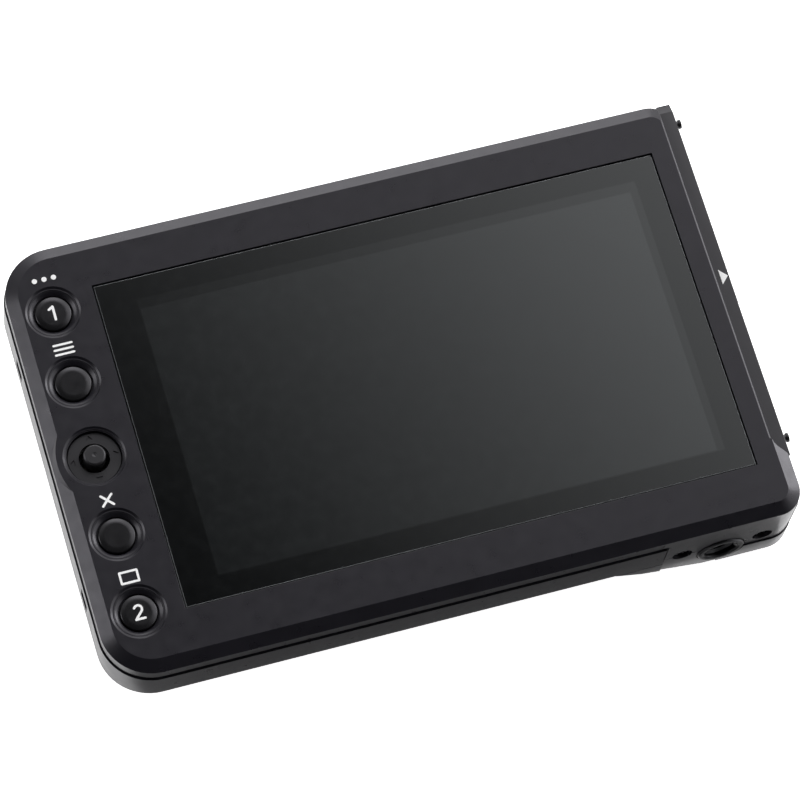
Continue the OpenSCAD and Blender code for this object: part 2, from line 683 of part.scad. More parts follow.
// Joystick: a fixed plate with four direction marks
module joy_plate() color([0.15, 0.15, 0.16]) place() translate([key_x, joy_y, z_front - 2.0])
    difference() {
        union() {
            cylinder(r = joy_r - 0.75, h = 0.65);
            translate([0, 0, 0.65]) cylinder(r1 = joy_r - 0.75, r2 = joy_r - 0.9, h = 0.15);
        }
        translate([0, 0, -1]) cylinder(r = 2.85, h = 4);
        for (a = [0 : 90 : 270]) rotate([0, 0, a]) translate([0, 0, 0.6]) linear_extrude(height = 1)
            polygon([[3.65, -0.65], [4.55, 0], [3.65, 0.65]]);
    }

module joy_housing() color([0.6, 0.6, 0.62]) place() translate([key_x, joy_y, z_kbt])
    difference() {
        translate([-joy_can, -joy_can, 0]) cube([2 * joy_can, 2 * joy_can, 4.7]);
        translate([-joy_half - joy_fit, -joy_half - joy_fit, 0.5])
            cube([2 * (joy_half + joy_fit), 2 * (joy_half + joy_fit), 6]);
        for (s = [-1, 1]) translate([s * joy_can - 1, -1.2, 0.5]) cube([2, 2.4, 2.2]);
    }

module joy_lid() color([0.65, 0.65, 0.67]) place() translate([key_x, joy_y, z_kbt + 4.7])
    difference() {
        union() {
            translate([-joy_can, -joy_can, 0]) cube([2 * joy_can, 2 * joy_can, 0.5]);
            for (s = [-1, 1]) translate([-2, s * (joy_can + 0.2) - 0.2, -3]) cube([4, 0.4, 3.5]);
        }
        translate([0, 0, -1]) cylinder(r = 3.1, h = 3);
    }

module joy_dome() color([0.85, 0.75, 0.4]) place() translate([key_x, joy_y, z_kbt + 0.5])
    cylinder(r1 = 2.4, r2 = 0.9, h = z_pivot - 1.35 - joy_travel - z_kbt - 0.5);

// Press carriage: slides down in the housing and carries the outer pins' holes
module joy_carriage() color([0.1, 0.1, 0.11]) place() translate([key_x, joy_y, z_pivot])
    difference() {
        translate([-joy_half, -joy_half, -1.35]) cube([2 * joy_half, 2 * joy_half, 2.9]);
        translate([0, 0, -3]) cylinder(r = ring_out + 0.25, h = 8);
        rotate([0, 90, 0]) translate([0, 0, -6]) cylinder(r = joy_pin + pin_play, h = 12);
        for (s = [-1, 1]) translate([-1.6, s * 5.0 - 1.0, -2]) cube([3.2, 2.0, 6]);
    }

// Gimbal ring: turns on two pins along X and holds the stick's pins along Y
module joy_ring() color([0.75, 0.75, 0.77]) place() translate([key_x, joy_y, z_pivot])
    difference() {
        union() {
            translate([0, 0, -0.85]) cylinder(r = ring_out, h = 1.7);
            for (s = [-1, 1]) rotate([0, s * 90, 0])
                translate([0, 0, ring_out - 0.4]) cylinder(r = joy_pin, h = 1.45);
        }
        translate([0, 0, -2]) cylinder(r = ring_in, h = 4);
        rotate([90, 0, 0]) translate([0, 0, -6]) cylinder(r = joy_pin + pin_play, h = 12);
    }

// Stick: hub with the two inner pins and a shaft up to the cap
module joy_stick() color([0.75, 0.75, 0.77]) place() translate([key_x, joy_y, z_pivot]) {
    cylinder(r = 1.0, h = z_front + stick_up - 0.6 - z_pivot);
    translate([0, 0, -1.0]) cylinder(r = 0.7, h = 1.2);
    rotate([90, 0, 0]) translate([0, 0, -1.7]) cylinder(r = 1.15, h = 3.4);
    rotate([90, 0, 0]) translate([0, 0, -3.35]) cylinder(r = joy_pin, h = 6.7);
}

// Cap pressed on the stick, with a rounded rim and a small dimple
module joy_cap() color([0.2, 0.2, 0.21]) place() translate([key_x, joy_y, 0]) difference() {
    union() {
        translate([0, 0, z_front - 2.6]) cylinder(r = stick_r, h = 2.6 + stick_up - 0.25);
        translate([0, 0, z_front + stick_up - 0.25]) cylinder(r1 = stick_r, r2 = stick_r - 0.3, h = 0.25);
    }
    translate([0, 0, z_front - 3]) cylinder(r = 1.02, h = 3 + stick_up - 0.6);
    translate([0, 0, z_front + stick_up + 0.32]) sphere(r = 0.5, $fn = 24);
}

// Metal block behind the bottom wall that takes the load of the stand thread
module mount_block() color([0.6, 0.6, 0.62]) place() difference() {
    intersection() {
        translate([bush_x - 11.2, block_y1, floor_t + 0.3])
            cube([11.2 + cav_right - 0.3 - bush_x, block_y2 - block_y1, z_chassis - 0.9 - floor_t - 0.3]);
        union() {
            translate([0, hh, 0]) rotate([90, 0, 0]) linear_extrude(height = body_h)
                hump_side(floor_t + 0.3);
            translate([0, -hh, z_floor]) cube([hw, body_h, body_t]);
        }
    }
    translate([bush_x, block_y2 + 1, bush_z]) rotate([90, 0, 0]) cylinder(r = 3.85, h = 20);
    for (s = [-1, 1]) translate([bush_x + s * pocket_pitch, block_y2 - 2, pocket_z])
        rotate([90, 0, 0]) cylinder(r = 0.8, h = 20);
}

// Flanged bush with the quarter-inch stand thread shown at its full size
module thread_bush() color([0.75, 0.75, 0.77]) place() translate([bush_x, 0, bush_z])
    rotate([90, 0, 0]) difference() {
        union() {
            translate([0, 0, -block_y2 + 1]) cylinder(r = 3.8, h = block_y2 + bush_face - 1.6);
            translate([0, 0, hh - 0.6]) cylinder(r = bush_r, h = bush_face - hh + 0.3);
            translate([0, 0, bush_face - 0.3]) cylinder(r1 = bush_r, r2 = bush_r - 0.3, h = 0.3);
        }
        translate([0, 0, -block_y2 + 2]) cylinder(r = thread_r, h = 30);
        translate([0, 0, bush_face - 0.35]) cylinder(r1 = thread_r, r2 = thread_r + 0.4, h = 0.36);
    }

module block_screws() color([0.7, 0.7, 0.72]) place()
    for (s = [-1, 1]) translate([bush_x + s * pocket_pitch, -hh + pocket_d - 0.6, pocket_z])
        rotate([-90, 0, 0]) screw(0.75, 1.6, 5, 0.6);

module case_screws() color([0.25, 0.25, 0.27]) place()
    for (p = case_pts) translate([p[0], p[1], case_base(p) + 0.35])
        screw(0.88, 2.0, z_plate - 0.4 - case_base(p) - 1.2, 0.85);

// Rear plate for a slide-on battery, with two rails and an open end
plate_pts = [[bp_x - bp_w / 2 + 3.2, bp_h / 2 - 9], [bp_x - bp_w / 2 + 3.2, -bp_h / 2 + 9],
    [bp_x + 19, 15.5], [bp_x + 19, -15.5]];
module battery_plate() color([0.1, 0.1, 0.11]) place() difference() {
    union() {
        translate([bp_x - bp_w / 2, bp_y - bp_h / 2, 1]) cube([bp_w, bp_h, zt - 1]);
        translate([bp_x - bp_w / 2 + 1, bp_y - bp_h / 2 + 1, 0]) cube([bp_w - 2, bp_h - 2, 2]);
    }
    // Bay, open to the right, with undercut rails
    translate([bp_x - bay_w / 2 + 1, bp_y - bay_h / 2, -1]) cube([bp_w, bay_h, 1 + bay_d]);
    for (s = [-1, 1]) translate([bp_x - bay_w / 2 + 1, s * (bay_h / 2 + 0.2) - 1.2, 1.6])
        cube([bp_w, 2.4, bay_d - 1.6]);
    // Room for the contact block and the latch
    translate([bp_x - bay_w / 2 - 3, -9.1, -1]) cube([6, 18.2, 1 + bay_d + 1.2]);
    translate([latch_x - latch_w / 2 - 0.08, -latch_d / 2 - 0.08, -1])
        cube([latch_w + 0.16, latch_d + 0.16, 10]);
    for (p = plate_pts) translate([p[0], p[1], -1]) {
        cylinder(r = 1.1, h = 10);
        cylinder(r = 2.2, h = p[0] < bp_x ? 2.6 : 1 + bay_d + 0.9);
    }
    translate([latch_x - latch_w / 2 - 1.1, -latch_d / 2 - 0.8, bay_d + 0.8])
        cube([latch_w + 2.2, latch_d + 1.6, 10]);
    // Hollow above the bay's floor where nothing bears
    translate([bp_x - 24, -14, bay_d + 1.3]) cube([36, 28, 5]);
}

module plate_screws() color([0.7, 0.7, 0.72]) place()
    for (p = plate_pts) translate([p[0], p[1], p[0] < bp_x ? 0.75 : bay_d + 0.05])
        screw(0.95, 2.0, zt + floor_t - 0.1 - (p[0] < bp_x ? 1.6 : bay_d + 0.9), 0.85);

module contact_block() color([0.05, 0.05, 0.06]) place() difference() {
    translate([bp_x - bay_w / 2 - 2.9, -9, 0.6]) cube([5.8, 18, bay_d + 0.5]);
    for (y = [-6, 0, 6]) translate([bp_x - bay_w / 2 + 0.4, y - 0.8, 1.2]) cube([5, 1.6, 2.4]);
}

module contact_blades() color([0.85, 0.7, 0.3]) place()
    for (y = [-6, 0, 6]) translate([bp_x - bay_w / 2 + 0.4, y - 0.3, 1.5])
        cube([2.6, 0.6, 1.8]);

// Lock that the battery pushes in and that springs back behind it
module latch() color([0.55, 0.1, 0.08]) place() {
    translate([latch_x, latch_d / 2, 0]) rotate([90, 0, 0])
        linear_extrude(height = latch_d) polygon([[-latch_w / 2, bay_d - 0.1],
        [latch_w / 2 - 2.6, bay_d - latch_up], [latch_w / 2, bay_d - latch_up],
        [latch_w / 2, bay_d + 1], [-latch_w / 2, bay_d + 1]]);
    translate([latch_x - latch_w / 2 - 0.9, -latch_d / 2 - 0.6, bay_d + 0.85])
        cube([latch_w + 1.8, latch_d + 1.2, 0.5]);
}

// Bowed leaf spring between the latch and the back of the rear cover
module latch_spring() color([0.75, 0.75, 0.77]) place()
    translate([latch_x, 1.4, 0]) rotate([90, 0, 0]) linear_extrude(height = 2.8)
    polygon([[-4.4, zt], [-4.4, zt - 0.14], [-2.2, bay_d + 1.75], [0, bay_d + 1.36],
        [2.2, bay_d + 1.75], [4.4, zt - 0.14], [4.4, zt], [2.2, bay_d + 1.9], [0, bay_d + 1.5],
        [-2.2, bay_d + 1.9]]);

front_cover();
rear_cover();
side_strip();
strip_studs();
index_mark();
cover_glass();
glass_tape();
bond_pad();
lcd_cell();
backlight();
lcd_flex();
chassis();
chassis_screws();
main_board();
board_parts();
board_screws();
hdmi_socket();
power_socket();
phone_socket();
key_board();
key_switches();
key_board_screws();
key_flex();
key_a();
key_b();
key_c();
key_d();
joy_plate();
joy_housing();
joy_lid();
joy_dome();
joy_carriage();
joy_ring();
joy_stick();
joy_cap();
mount_block();
thread_bush();
block_screws();
case_screws();
battery_plate();
plate_screws();
contact_block();
contact_blades();
latch();
latch_spring();
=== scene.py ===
"""Studio picture of a small camera field monitor lying on its back."""

import json
import math

import bmesh
import bpy
from mathutils import Matrix, Vector


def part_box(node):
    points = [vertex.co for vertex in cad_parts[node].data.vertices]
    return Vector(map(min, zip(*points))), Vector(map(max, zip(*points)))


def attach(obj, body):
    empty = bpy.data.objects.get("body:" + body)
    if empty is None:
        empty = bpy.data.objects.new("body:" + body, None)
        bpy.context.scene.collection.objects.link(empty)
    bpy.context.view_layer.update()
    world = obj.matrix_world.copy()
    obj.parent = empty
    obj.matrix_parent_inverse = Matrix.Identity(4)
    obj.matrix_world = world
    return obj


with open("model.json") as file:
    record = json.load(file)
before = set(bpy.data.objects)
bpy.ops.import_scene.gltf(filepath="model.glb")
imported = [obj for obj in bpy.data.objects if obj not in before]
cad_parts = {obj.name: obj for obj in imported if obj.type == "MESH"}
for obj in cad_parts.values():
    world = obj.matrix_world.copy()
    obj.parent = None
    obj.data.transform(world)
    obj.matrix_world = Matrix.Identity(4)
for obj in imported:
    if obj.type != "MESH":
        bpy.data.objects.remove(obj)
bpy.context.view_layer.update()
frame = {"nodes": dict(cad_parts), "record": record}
nodes = frame["nodes"]

# Sizes and places are in millimetres unless a comment says metres
MM = 0.001

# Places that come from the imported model, in metres
GLASS_LOW, GLASS_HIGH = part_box("cover_glass")
BUSH_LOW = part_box("thread_bush")[0]

# Height of the cover glass's upper face
GLASS_TOP = GLASS_HIGH.z / MM


def centre(node):
    low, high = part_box(node)
    return (low + high) / 2


def glass_sides(grow):
    """Left, low, right and high side of the cover glass, each moved out by grow."""
    return (GLASS_LOW.x / MM - grow, GLASS_LOW.y / MM - grow,
            GLASS_HIGH.x / MM + grow, GLASS_HIGH.y / MM + grow)


# Range in which nearly all of a noise texture's values lie
NOISE_LOW = 0.3
NOISE_HIGH = 0.7

# Noise scales, per metre: tone and gloss of plastic, then tone, gloss and scratches of
# metal, then tone and gloss of glass
MOTTLE_SCALE = 160
GLOSS_SCALE = 420
TARNISH_SCALE = 900
WEAR_SCALE = 2500
SCRATCH_SCALE = 6000
TINT_SCALE = 30
SMEAR_SCALE = 60

# How far the gloss of a finish strays: added for plastic, as a share for metal
PLASTIC_GLOSS = 0.03
METAL_GLOSS = 0.2
SCRATCH_DEPTH = 0.002
METAL_EDGE = 0.06


def new_material(name):
    mat = bpy.data.materials.new(name)
    mat.use_nodes = True
    tree = mat.node_tree
    return mat, tree, tree.nodes["Principled BSDF"]


def coordinates(tree):
    return tree.nodes.new("ShaderNodeTexCoord").outputs["Object"]


def noise(tree, scale, detail=3.0, rough=0.5):
    node = tree.nodes.new("ShaderNodeTexNoise")
    node.inputs["Scale"].default_value = scale
    node.inputs["Detail"].default_value = detail
    node.inputs["Roughness"].default_value = rough
    tree.links.new(coordinates(tree), node.inputs["Vector"])
    return node.outputs["Fac"]


def ramp(tree, value, low, high):
    """A colour from low to high, over the range of a noise texture."""
    node = tree.nodes.new("ShaderNodeValToRGB")
    first, last = node.color_ramp.elements
    first.position = NOISE_LOW
    last.position = NOISE_HIGH
    first.color = (*low, 1)
    last.color = (*high, 1)
    tree.links.new(value, node.inputs["Fac"])
    return node.outputs["Color"]


def spread(tree, value, low, high):
    """A number from low to high, over the range of a noise texture."""
    node = tree.nodes.new("ShaderNodeMapRange")
    node.inputs["From Min"].default_value = NOISE_LOW
    node.inputs["From Max"].default_value = NOISE_HIGH
    node.inputs["To Min"].default_value = low
    node.inputs["To Max"].default_value = high
    tree.links.new(value, node.inputs["Value"])
    return node.outputs["Result"]


def bump(tree, shader, height, distance, edge=0.0):
    """Fine grain on the surface, and edges that catch the light as if rounded by edge."""
    node = tree.nodes.new("ShaderNodeBump")
    node.inputs["Distance"].default_value = distance * MM
    tree.links.new(height, node.inputs["Height"])
    tree.links.new(node.outputs["Normal"], shader.inputs["Normal"])
    if edge:
        soft = tree.nodes.new("ShaderNodeBevel")
        soft.samples = 6
        soft.inputs["Radius"].default_value = edge * MM
        tree.links.new(soft.outputs["Normal"], node.inputs["Normal"])


def shade(colour, factor):
    return tuple(c * factor for c in colour)


def plastic(name, colour, rough, grain=9000, depth=0.004, vary=0.12, specular=0.5,
            tint=(0.95, 0.93, 1.0), ior=1.5):
    """Moulded plastic: an even fine grain, and slight changes of tone and gloss."""
    mat, tree, shader = new_material(name)
    mottle = noise(tree, MOTTLE_SCALE, detail=4)
    tone = ramp(tree, mottle, shade(colour, 1 - vary), shade(colour, 1 + vary))
    gloss = spread(tree, noise(tree, GLOSS_SCALE), rough - PLASTIC_GLOSS, rough + PLASTIC_GLOSS)
    tree.links.new(tone, shader.inputs["Base Color"])
    tree.links.new(gloss, shader.inputs["Roughness"])
    shader.inputs["Specular IOR Level"].default_value = specular
    shader.inputs["IOR"].default_value = ior
    shader.inputs["Specular Tint"].default_value = (*tint, 1)
    if depth:
        bump(tree, shader, noise(tree, grain, detail=2, rough=0.6), depth)
    return mat


def metal(name, colour, rough):
    """Plated or turned metal with faint wear in its gloss."""
    mat, tree, shader = new_material(name)
    tone = ramp(tree, noise(tree, TARNISH_SCALE, detail=4), shade(colour, 0.9), colour)
    gloss = spread(tree, noise(tree, WEAR_SCALE), rough * (1 - METAL_GLOSS),
                   rough * (1 + METAL_GLOSS))
    tree.links.new(tone, shader.inputs["Base Color"])
    tree.links.new(gloss, shader.inputs["Roughness"])
    shader.inputs["Metallic"].default_value = 1.0
    bump(tree, shader, noise(tree, SCRATCH_SCALE, detail=2), SCRATCH_DEPTH, METAL_EDGE)
    return mat


def glass(name):
    """Clear sheet with a hint of blue and green."""
    mat, tree, shader = new_material(name)
    tint = noise(tree, TINT_SCALE, detail=2)
    tone = ramp(tree, tint, (0.82, 0.86, 0.87), (0.85, 0.88, 0.89))
    gloss = spread(tree, noise(tree, SMEAR_SCALE, detail=2), 0.01, 0.02)
    tree.links.new(tone, shader.inputs["Base Color"])
    tree.links.new(gloss, shader.inputs["Roughness"])
    shader.inputs["Transmission Weight"].default_value = 1.0
    shader.inputs["IOR"].default_value = 1.38
    return mat


def board_green(name):
    """Circuit board: solder mask with fine tracks under it."""
    mat, tree, shader = new_material(name)
    brick = tree.nodes.new("ShaderNodeTexBrick")
    brick.inputs["Scale"].default_value = 700
    brick.inputs["Mortar Size"].default_value = 0.08
    brick.inputs["Color1"].default_value = (0.008, 0.07, 0.03, 1)
    brick.inputs["Color2"].default_value = (0.01, 0.09, 0.04, 1)
    brick.inputs["Mortar"].default_value = (0.03, 0.16, 0.07, 1)
    tree.links.new(coordinates(tree), brick.inputs["Vector"])
    tree.links.new(brick.outputs["Color"], shader.inputs["Base Color"])
    shader.inputs["Roughness"].default_value = 0.35
    return mat


CHARCOAL = (0.0092, 0.0087, 0.0118)
MATERIALS = {
    "case_plastic": plastic("case", CHARCOAL, 0.3),
    "strip_plastic": plastic("strip", (0.024, 0.0235, 0.025), 0.45),
    "key_plastic": plastic("key", (0.007, 0.007, 0.0076), 0.23, grain=14000, depth=0.001),
    "cap_plastic": plastic("cap", (0.012, 0.012, 0.0128), 0.42, grain=14000, depth=0.002),
    "screen_glass": glass("screen_glass"),
    "screen_cell": plastic("cell", (0.006, 0.0066, 0.007), 0.35, depth=0.0),
    "clear_bond": glass("clear_bond"),
    "black_foam": plastic("foam", (0.004, 0.004, 0.004), 0.9),
    "sheet_metal": metal("sheet", (0.5, 0.5, 0.52), 0.35),
    "amber_film": plastic("film", (0.35, 0.13, 0.02), 0.3, depth=0.001),
    "dark_screw": metal("dark_screw", (0.05, 0.05, 0.053), 0.4),
    "bright_steel": metal("bright_steel", (0.55, 0.55, 0.56), 0.25),
    "green_board": board_green("green_board"),
    "chip_plastic": plastic("chip", (0.012, 0.012, 0.013), 0.5),
    "socket_metal": metal("socket_metal", (0.6, 0.6, 0.61), 0.3),
    "socket_plastic": plastic("socket", (0.01, 0.01, 0.011), 0.4),
    "spring_metal": metal("spring", (0.6, 0.57, 0.5), 0.3),
    "block_metal": metal("block", (0.5, 0.5, 0.51), 0.4),
    "bush_metal": metal("bush", (0.045, 0.045, 0.048), 0.38),
    "contact_metal": metal("contact", (0.75, 0.5, 0.16), 0.25),
    "latch_plastic": plastic("latch", CHARCOAL, 0.45),
    "white_print": plastic("white_print", (0.97, 0.97, 0.97), 0.6, vary=0.02, depth=0.0),
}

# Nodes whose finish differs from the rest of their slot: the stick unit and the studs
FINISHES = {
    "joy_cap": "cap_plastic", "joy_plate": "cap_plastic", "joy_ring": "dark_screw",
    "joy_stick": "dark_screw", "strip_studs": "dark_screw",
}

for part in frame["record"]["subparts"]:
    mesh = nodes[part["node"]].data
    mesh.materials.clear()
    mesh.materials.append(MATERIALS[FINISHES.get(part["node"], part["material_slot"])])

# Width of the rounded edges of the front cover, the battery plate and the small caps
ROUNDED = {
    "front_cover": 0.08, "battery_plate": 0.18,
    "key_a": 0.16, "key_b": 0.16, "key_c": 0.16, "key_d": 0.16, "joy_cap": 0.2,
    "latch": 0.2, "thread_bush": 0.16,
}

# Angles in degrees: edges over SHARP_OVER are rounded, faces within FLAT_UNDER become one
SHARP_OVER = 20
FLAT_UNDER = 0.3

# Angle over which the other nodes' edges stay sharp; the rear cover has slopes of 25 degrees
STAYS_SHARP = 30
SLOPED = {"rear_cover": 20}

# Points closer than this are one point
SAME_POINT = 0.001


def join_points(obj):
    join = obj.modifiers.new("join", "WELD")
    join.merge_threshold = SAME_POINT * MM


def round_node(obj, width):
    """Edges over SHARP_OVER get a small radius, and the faces between stay true."""
    join_points(obj)
    flat = obj.modifiers.new("flat", "DECIMATE")
    flat.decimate_type = "DISSOLVE"
    flat.angle_limit = math.radians(FLAT_UNDER)
    edge = obj.modifiers.new("edge", "BEVEL")
    edge.offset_type = "WIDTH"
    edge.width = width * MM
    edge.segments = 3
    edge.limit_method = "ANGLE"
    edge.angle_limit = math.radians(SHARP_OVER)
    edge.use_clamp_overlap = False
    edge.miter_outer = "MITER_ARC"
    normals = obj.modifiers.new("normals", "WEIGHTED_NORMAL")
    normals.mode = "FACE_AREA"
    normals.weight = 90
    obj.data.shade_smooth()


def smooth_node(obj, sharp):
    """Curved faces are shaded as one, and edges over the angle sharp stay sharp."""
    join_points(obj)
    split = obj.modifiers.new("split", "EDGE_SPLIT")
    split.split_angle = math.radians(sharp)
    normals = obj.modifiers.new("normals", "WEIGHTED_NORMAL")
    normals.mode = "CORNER_ANGLE"
    obj.data.shade_smooth()


for node_name, node in nodes.items():
    if node_name in ROUNDED:
        round_node(node, ROUNDED[node_name])
    else:
        smooth_node(node, SLOPED.get(node_name, STAYS_SHARP))


# Pieces that only the picture needs


def piece(name, points, faces, mat, body="housing"):
    """A mesh given in millimetres, which rides on a body."""
    mesh = bpy.data.meshes.new(name)
    mesh.from_pydata([(x * MM, y * MM, z * MM) for x, y, z in points], [], faces)
    mesh.validate()
    work = bmesh.new()
    work.from_mesh(mesh)
    bmesh.ops.recalc_face_normals(work, faces=work.faces)
    work.to_mesh(mesh)
    work.free()
    mesh.materials.append(mat)
    obj = bpy.data.objects.new(name, mesh)
    bpy.context.scene.collection.objects.link(obj)
    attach(obj, body)
    return obj


def band(count):
    """Faces between two rings of count points, where the second ring follows the first."""
    return [(i, (i + 1) % count, count + (i + 1) % count, count + i) for i in range(count)]


def rounded(left, low, right, high, radius, steps=6):
    """Outline of a rectangle with rounded corners."""
    outline = []
    corners = ((right, high, 0), (left, high, 90), (left, low, 180), (right, low, 270))
    for x, y, start in corners:
        mid_x = x - radius if x == right else x + radius
        mid_y = y - radius if y == high else y + radius
        for i in range(steps + 1):
            angle = math.radians(start + 90 * i / steps)
            outline.append((mid_x + radius * math.cos(angle), mid_y + radius * math.sin(angle)))
    return outline


# Printed frame, panel and picture area as they show through the polished glass
PRINT_Z = GLASS_TOP + 0.012
PANEL_Z = GLASS_TOP + 0.006
PICTURE_Z = PANEL_Z + 0.003
PRINT_INSIDE = 0.03
PANEL_MARGIN = 0.4

# Left, low, right and high side of the frame's window and of the picture
WINDOW = (-43.35, -27.5, 53.35, 28.1)
PICTURE = (-43.15, -27.25, 51.85, 26.1)
SCREEN_TINT = (0.92, 0.97, 1.0)


def under_glass(name, colour, second):
    """A dark layer under polished glass; second is the strength of its own reflection."""
    mat = plastic(name, colour, 0.1, depth=0.0, specular=second, tint=SCREEN_TINT, ior=1.55)
    shader = mat.node_tree.nodes["Principled BSDF"]
    shader.inputs["Coat Weight"].default_value = 1.0
    shader.inputs["Coat Roughness"].default_value = 0.02
    shader.inputs["Coat IOR"].default_value = 1.45
    return mat


def sheet(name, outline, z, mat):
    points = [(x, y, z) for x, y in outline]
    piece(name, points, [tuple(range(len(points)))], mat)


def make_screen():
    black = under_glass("screen_print", (0.002, 0.0023, 0.0025), 0.46)
    panel = under_glass("screen_panel", (0.003, 0.0034, 0.0036), 0.6)
    picture = under_glass("screen_picture", (0.0056, 0.0064, 0.0068), 0.76)
    outer = rounded(*glass_sides(-PRINT_INSIDE), radius=0.2)
    inner = rounded(*WINDOW, radius=0.15)
    points = [(x, y, PRINT_Z) for x, y in outer + inner]
    piece("screen_print", points, band(len(outer)), black)
    left, low, right, high = WINDOW
    under_print = rounded(left - PANEL_MARGIN, low - PANEL_MARGIN,
                          right + PANEL_MARGIN, high + PANEL_MARGIN, radius=0.2)
    sheet("screen_panel", under_print, PANEL_Z, panel)
    sheet("screen_picture", rounded(*PICTURE, radius=0.1), PICTURE_Z, picture)


# Ground edge of the cover glass, which starts a little inside the glass and above it. Its light
# grey is partly the pale look of ground glass and partly a painted highlight along the glass's
# edge
CHAMFER_WIDE = 0.12
CHAMFER_DEEP = 0.1
CHAMFER_INSIDE = 0.02
CHAMFER_LIFT = 0.004


def make_chamfer():
    """Four narrow slopes along the glass's upper edges."""
    # Light grey: partly ground glass, partly painted highlight along the edge
    ground_and_highlight = plastic("glass_chamfer", (0.3, 0.31, 0.32), 0.4, depth=0.0, tint=SCREEN_TINT)
    points = []
    for grow, z in ((CHAMFER_WIDE - CHAMFER_INSIDE, GLASS_TOP - CHAMFER_DEEP),
                    (-CHAMFER_INSIDE, GLASS_TOP + CHAMFER_LIFT)):
        left, low, right, high = glass_sides(grow)
        points += [(left, low, z), (right, low, z), (right, high, z), (left, high, z)]
    piece("glass_chamfer", points, band(4), ground_and_highlight)


# Print: how far it sinks into the surface and stands on it. Each short stroke stands a step
# higher than the one before, so that no two tops share a plane.
PRINT_SUNK = 0.05
PRINT_LIFT = 0.02
LIFT_STEP = 0.0008
LONGEST_STROKE = 0.5
END_STEPS = 6


def stroke(start, end, width):
    """Outline of a straight line with round ends."""
    along = math.atan2(end[1] - start[1], end[0] - start[0])
    outline = []
    for point, turn in ((end, -90), (start, 90)):
        for i in range(END_STEPS + 1):
            angle = along + math.radians(turn + 180 / END_STEPS * i)
            outline.append((point[0] + width / 2 * math.cos(angle),
                            point[1] + width / 2 * math.sin(angle)))
    return outline


def pieces_of(line):
    """A line cut into short ones, so that print follows a domed surface."""
    start, end = Vector(line[0]), Vector(line[1])
    count = max(1, math.ceil((end - start).length / LONGEST_STROKE))
    return chain([start.lerp(end, i / count) for i in range(count + 1)])


def height_at(node, x, y):
    """Height of a node's upper face, found by a ray from a metre above it."""
    above = Vector((x * MM, y * MM, 1))
    return nodes[node].ray_cast(above, Vector((0, 0, -1)))[1].z / MM


def print_mark(name, at, lines, width, node, body):
    """Lines printed on top of a node; they are given from the spot at."""
    points, faces = [], []
    short = [part for line in lines for part in pieces_of(line)]
    for number, (start, end) in enumerate(short):
        outline = [(x + at[0], y + at[1]) for x, y in stroke(start, end, width)]
        count = len(outline)
        solid = band(count) + [tuple(range(count)), tuple(range(count, 2 * count))]
        faces += [tuple(i + len(points) for i in side) for side in solid]
        for lift in (-PRINT_SUNK, PRINT_LIFT + LIFT_STEP * number):
            points += [(x, y, height_at(node, x, y) + lift) for x, y in outline]
    piece(name, points, faces, MATERIALS["white_print"], body)


def chain(spots):
    """Lines that join each spot to the next."""
    return list(zip(spots, spots[1:]))


def arc(x, y, radius, start, end, steps):
    angles = [math.radians(start + (end - start) * i / steps) for i in range(steps + 1)]
    return [(x + radius * math.cos(a), y + radius * math.sin(a)) for a in angles]


MORE = [((x, 0), (x + 0.01, 0)) for x in (-1.8, 0, 1.8)]
LIST = [((-1.7, y), (1.7, y)) for y in (-0.95, 0, 0.95)]
CROSS = [((-1.0, -1.0), (1.0, 1.0)), ((-1.0, 1.0), (1.0, -1.0))]
SCREEN = chain([(-1.6, -1.05), (1.6, -1.05), (1.6, 1.05), (-1.6, 1.05), (-1.6, -1.05)])
ONE = chain([(-0.62, 0.85), (0.18, 1.32), (0.18, -1.3)])
TWO = chain(arc(0, 0.6, 0.72, 155, -38, 8) + [(-0.8, -1.28), (0.88, -1.28)])

# Pictograms beside the keys and numerals on them: key, lines and line width
MARKS = {
    "mark_more": ("key_a", MORE, 1.0),
    "mark_list": ("key_b", LIST, 0.42),
    "mark_cross": ("key_c", CROSS, 0.44),
    "mark_screen": ("key_d", SCREEN, 0.42),
}
NUMERALS = {"numeral_1": ("key_a", ONE, 0.46), "numeral_2": ("key_d", TWO, 0.44)}
MARK_ABOVE = 6.7


def make_print():
    for name, (key, lines, width) in MARKS.items():
        mid = centre(key) / MM
        print_mark(name, (mid.x, mid.y + MARK_ABOVE), lines, width, "front_cover", "housing")
    for name, (key, lines, width) in NUMERALS.items():
        mid = centre(key) / MM
        print_mark(name, (mid.x, mid.y), lines, width, key, key + "_body")


# Stand thread, a quarter inch with 20 turns to the inch
THREAD_PITCH = 1.27
THREAD_TURNS = 7
THREAD_STEPS = 36
THREAD_STARTS_IN = 0.6

# Section of a turn: radius, and place along the hole in units of which 1.2 make a pitch
SECTION_UNIT = THREAD_PITCH / 1.2
THREAD_SECTION = ((3.2, -0.55), (2.6, -0.08), (2.6, 0.08), (3.2, 0.55))


def make_thread():
    mid = centre("thread_bush") / MM
    front = BUSH_LOW.y / MM + THREAD_STARTS_IN
    corners = len(THREAD_SECTION)
    points, faces = [], []
    for i in range(THREAD_TURNS * THREAD_STEPS + 1):
        angle = math.tau * i / THREAD_STEPS
        y = front + THREAD_PITCH * i / THREAD_STEPS
        if i:
            last = len(points) - corners
            faces += [tuple(last + corner for corner in side) for side in band(corners)]
        for radius, shift in THREAD_SECTION:
            points.append((mid.x + radius * math.cos(angle), y + shift * SECTION_UNIT,
                           mid.z + radius * math.sin(angle)))
    faces += [tuple(range(corners)), tuple(range(len(points) - corners, len(points)))]
    piece("stand_thread", points, faces, MATERIALS["bush_metal"])


make_screen()
make_chamfer()
make_print()
make_thread()

# Camera, from the fit of the photograph; the place is in metres
PHOTO_PX = 800
FOCAL_PX = 4414.1
CAMERA_AT = Vector((-0.14695, -0.26767, 0.76881))
TILT = math.radians(19.109)
SWING = math.radians(10.948)
ROLL = math.radians(17.385)


